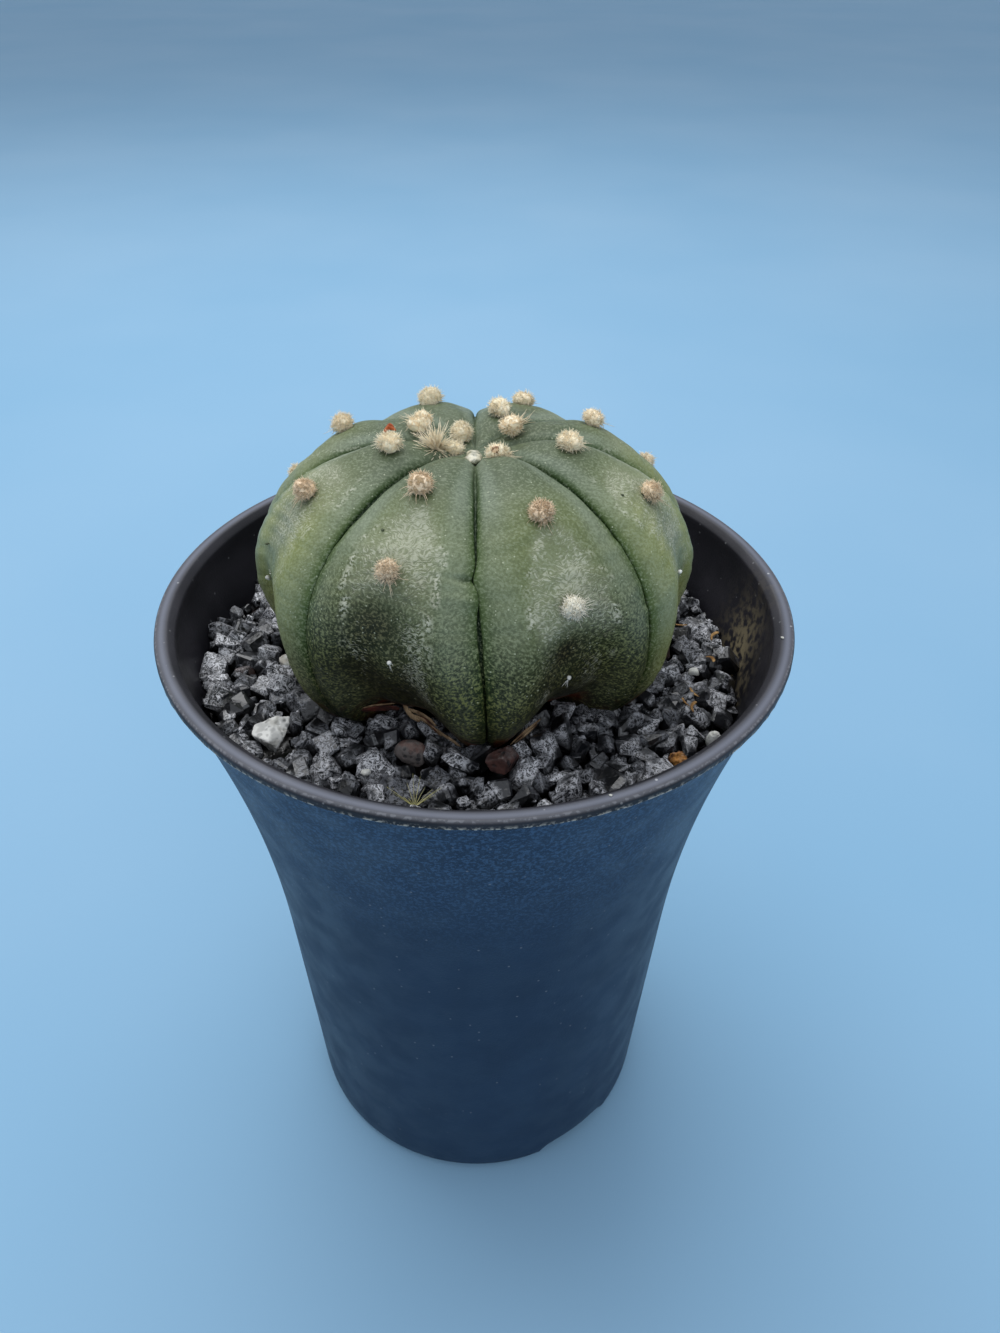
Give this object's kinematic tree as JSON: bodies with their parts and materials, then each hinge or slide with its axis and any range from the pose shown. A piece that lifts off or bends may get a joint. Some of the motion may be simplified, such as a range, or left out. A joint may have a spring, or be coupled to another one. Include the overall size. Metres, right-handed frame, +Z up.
{
  "type": "potted cactus",
  "caption": "Round spineless cactus with broad ribs and woolly areoles, standing in dark grit in a flared plastic nursery pot.",
  "frame": {"origin": "middle of the pot's foot, on the surface that it stands on", "axes": "+Z up along the pot's axis, -Y towards the side that shows best, +X to its right"},
  "size_m": [0.1, 0.1, 0.1471],
  "materials": {
    "pot_plastic": "satin",
    "potting_mix": "matte",
    "lava_grit": "matte",
    "cactus_skin": "satin",
    "pale_stone": "matte",
    "white_stone": "matte",
    "red_stone": "matte",
    "brown_stone": "matte",
    "bark": "matte"
  },
  "bodies": {
    "root": {"pot": "pot_plastic", "soil": "potting_mix", "grit": "lava_grit", "cactus": "cactus_skin", "pale_stone": "pale_stone", "white_pellet": "white_stone", "white_chip": "white_stone", "red_stone": "red_stone", "brown_pebble": "brown_stone", "bark_crumb": "bark"}
  },
  "joints": []
}
